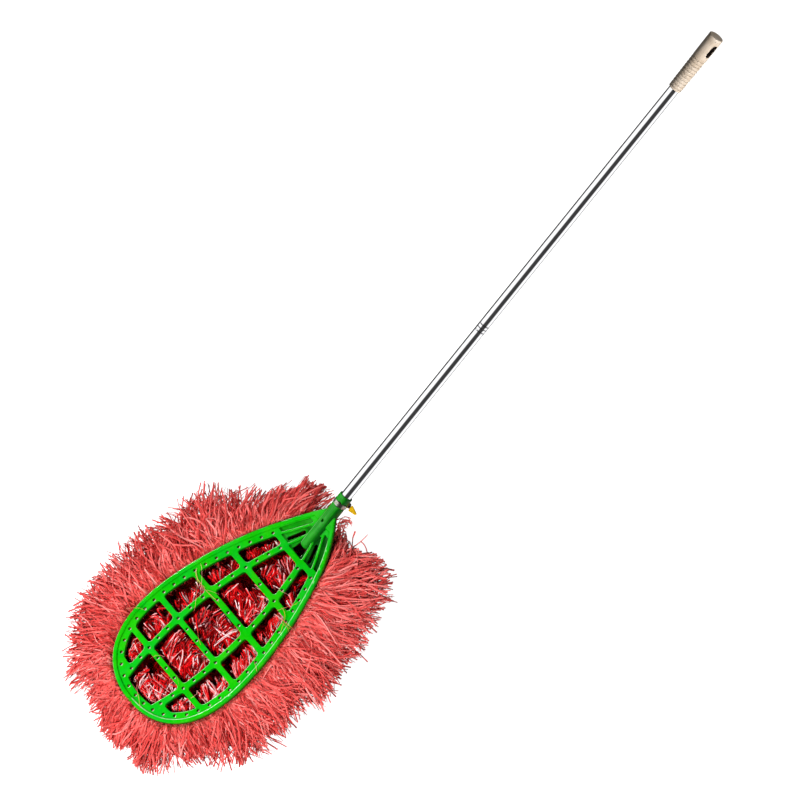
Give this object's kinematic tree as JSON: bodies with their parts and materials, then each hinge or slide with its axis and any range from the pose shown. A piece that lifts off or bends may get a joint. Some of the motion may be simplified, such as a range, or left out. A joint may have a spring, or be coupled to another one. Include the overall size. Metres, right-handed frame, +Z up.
{
  "type": "street broom",
  "caption": "Street broom with an openwork racket-shaped plate of bristle tufts and a sectional tube handle held in the plate's socket by a clamp; the grip has a hang slot.",
  "frame": {"origin": "centre of the broom's footprint on the ground that the bristle tips stand on", "axes": "+Y from the toe of the plate towards the grip, +Z up, +X to the right of a person looking along +Y"},
  "size_m": [0.5494, 1.8617, 0.626],
  "materials": {
    "green_plastic": "gloss",
    "red_filament": "satin",
    "tube_steel": "polished",
    "black_plastic": "satin",
    "beige_plastic": "satin",
    "plated_steel": "satin",
    "yellow_plastic": "satin"
  },
  "bodies": {
    "head": {"broom_plate": "green_plastic", "clamp_band": "plated_steel", "clamp_housing": "plated_steel", "cross_tuft_1": "red_filament", "cross_tuft_2_a": "red_filament", "cross_tuft_2_b": "red_filament", "cross_tuft_2_c": "red_filament", "cross_tuft_3_a": "red_filament", "cross_tuft_3_b": "red_filament", "cross_tuft_3_c": "red_filament", "cross_tuft_4_a": "red_filament", "cross_tuft_4_b": "red_filament", "cross_tuft_4_c": "red_filament", "rib_tufts_left_1": "red_filament", "rib_tufts_left_2": "red_filament", "rib_tufts_left_3": "red_filament", "rib_tufts_left_4": "red_filament", "rib_tufts_left_5": "red_filament", "rib_tufts_right_1": "red_filament", "rib_tufts_right_2": "red_filament", "rib_tufts_right_3": "red_filament", "rib_tufts_right_4": "red_filament", "rib_tufts_right_5": "red_filament", "rim_tufts_left_1": "red_filament", "rim_tufts_left_2": "red_filament", "rim_tufts_left_3": "red_filament", "rim_tufts_left_4": "red_filament", "rim_tufts_left_5": "red_filament", "rim_tufts_left_6": "red_filament", "rim_tufts_right_1": "red_filament", "rim_tufts_right_2": "red_filament", "rim_tufts_right_3": "red_filament", "rim_tufts_right_4": "red_filament", "rim_tufts_right_5": "red_filament", "rim_tufts_right_6": "red_filament", "rim_tufts_toe": "red_filament"},
    "lower_handle": {"lower_tube": "tube_steel", "joint_socket_insert": "black_plastic", "tube_foot_plug": "black_plastic"},
    "collar": {"joint_collar": "black_plastic"},
    "upper_handle": {"upper_tube": "tube_steel", "joint_threaded_plug": "black_plastic", "grip": "beige_plastic"},
    "clamp_key": {"clamp_worm_screw": "plated_steel", "clamp_thumb_key": "yellow_plastic"}
  },
  "joints": [
    {"name": "handle_slide", "type": "slide", "parent": "head", "child": "lower_handle", "axis": [0, 0.9397, 0.342], "range_m": [0, 0.108]},
    {"name": "collar_slide", "type": "slide", "parent": "lower_handle", "child": "collar", "axis": [0, 0.9397, 0.342], "range_m": [0, 0.0201]},
    {"name": "handle_unscrew", "type": "hinge", "parent": "collar", "child": "upper_handle", "pos_m": [0, -0.2474, 0.1846], "axis": [0, 0.9397, 0.342], "range_deg": [0, 1800]},
    {"name": "clamp_turn", "type": "hinge", "parent": "head", "child": "clamp_key", "pos_m": [0, -0.25884, 0.15756], "axis": [1, 0, 0], "continuous": true}
  ],
  "couplings": [
    {"joint": "collar_slide", "follows": "handle_unscrew", "m_per_rad": 0.00063662}
  ]
}
